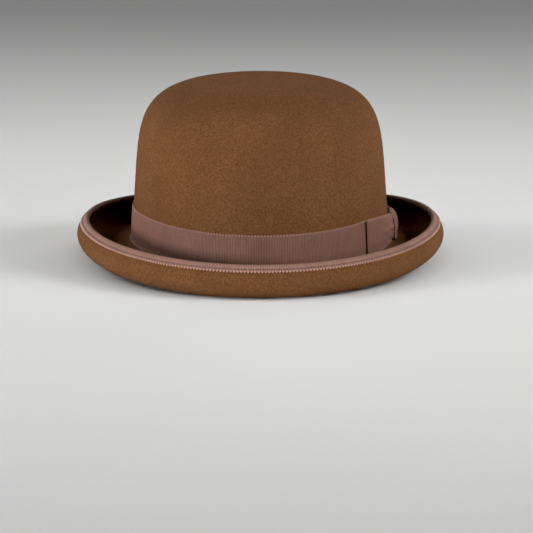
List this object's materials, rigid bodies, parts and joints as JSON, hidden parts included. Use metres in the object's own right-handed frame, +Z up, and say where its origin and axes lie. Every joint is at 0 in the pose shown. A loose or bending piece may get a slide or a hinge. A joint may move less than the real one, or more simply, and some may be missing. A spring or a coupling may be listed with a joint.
{
  "type": "bowler hat",
  "caption": "Stiff fur-felt bowler hat with a bound curled brim, a ribbon band with a flat side bow, a reeded leather sweatband and a satin lining.",
  "frame": {"origin": "centre of the bounding box at the plane that the brim rests on", "axes": "+Z up, -Y towards the front of the hat, +X towards the wearer's left, where the bow is"},
  "size_m": [0.2462, 0.3112, 0.1207],
  "materials": {
    "felt": "brown fur felt with a short velvety nap, fully matte",
    "ribbon": "mauve-brown grosgrain ribbon with fine ribs, soft sheen",
    "ribbon_thread": "matching twisted sewing thread",
    "pale_thread": "undyed cotton sewing thread",
    "leather": "tan sheepskin with a fine grain, semi-matte",
    "reed_cloth": "dark brown woven binding cloth, matte",
    "rear_bow_tape": "dark brown narrow ribbed ribbon",
    "reed_plastic": "translucent off-white cord",
    "satin": "cream satin, smooth with a directional sheen",
    "shield_plastic": "thin clear film, glossy",
    "ticket_paper": "blank cream woven ticket, matte"
  },
  "bodies": {
    "root": {"felt_body": "felt", "brim_binding": "ribbon", "binding_needle_thread": "ribbon_thread", "binding_bobbin_thread": "ribbon_thread", "hat_band": "ribbon", "hat_band_join_thread": "ribbon_thread", "bow_loops": "ribbon", "bow_knot": "ribbon", "sweatband": "leather", "sweatband_seam_tape": "reed_cloth", "sweatband_seam_thread": "pale_thread", "reed_cord": "reed_plastic", "reed_tape": "reed_cloth", "reed_zigzag_thread": "pale_thread", "sweatband_sewing_thread": "pale_thread", "rear_bow_loops": "rear_bow_tape", "rear_bow_knot": "rear_bow_tape", "lining_side": "satin", "lining_tip": "satin", "lining_seam_thread": "pale_thread", "tip_shield": "shield_plastic", "tip_shield_thread": "pale_thread", "size_ticket": "ticket_paper"}
  },
  "joints": []
}
